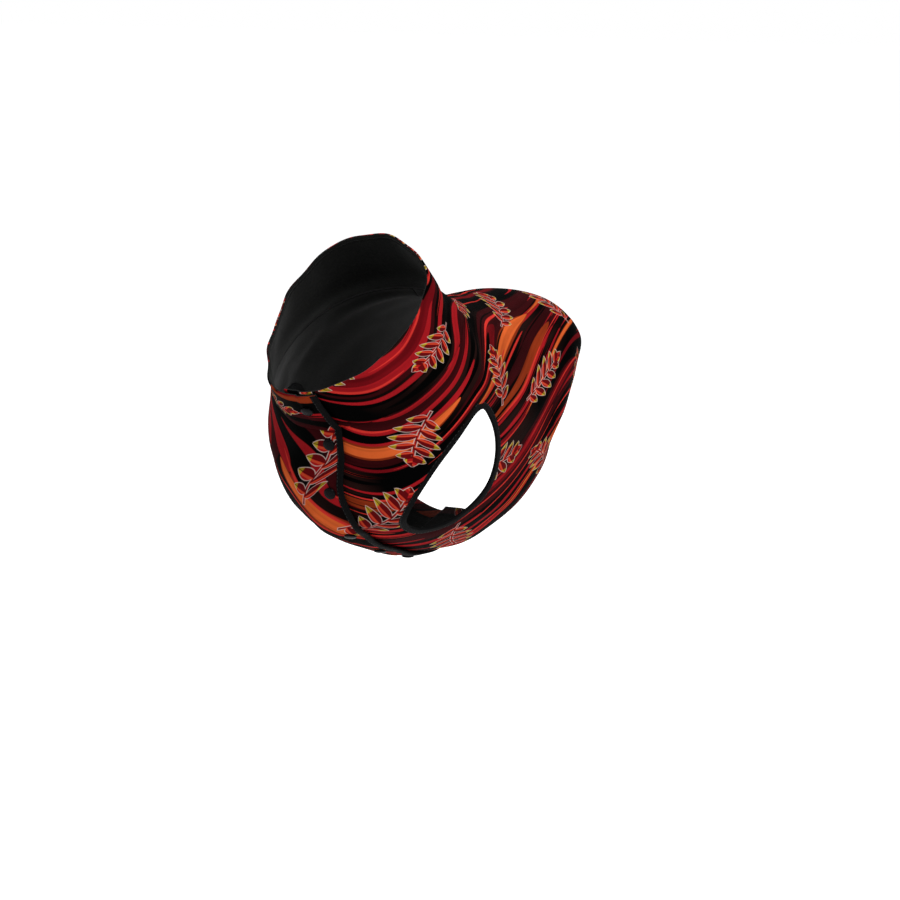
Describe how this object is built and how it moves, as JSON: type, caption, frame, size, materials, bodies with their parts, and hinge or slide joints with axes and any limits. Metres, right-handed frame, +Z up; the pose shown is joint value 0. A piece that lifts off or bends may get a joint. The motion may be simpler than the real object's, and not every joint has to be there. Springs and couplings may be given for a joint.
{
  "type": "dog jacket",
  "caption": "Sleeveless dog jacket, worn: stand-up collar lined in black, snap front under a bound edge, bound armholes and a plain slanting hem, in a smooth printed cloth.",
  "frame": {"origin": "inner face of the back at the foot of the collar, on the centre line, where the jacket rests on the wearer's withers", "axes": "+Z up, -Y towards the wearer's head, +X to the wearer's left"},
  "size_m": [0.1792, 0.373, 0.2634],
  "materials": {
    "printed_cloth": "satin",
    "lining": "matte",
    "tape": "matte",
    "snap_cap": "satin"
  },
  "bodies": {
    "root": {"body_left": "printed_cloth", "body_right": "printed_cloth", "collar": "printed_cloth", "collar_lining": "lining", "armhole_binding_left": "tape", "armhole_binding_right": "tape", "front_edge_binding": "tape", "snap_1": "snap_cap", "snap_2": "snap_cap", "snap_3": "snap_cap", "snap_4": "snap_cap", "snap_5": "snap_cap", "snap_6": "snap_cap", "snap_7": "snap_cap"}
  },
  "joints": []
}
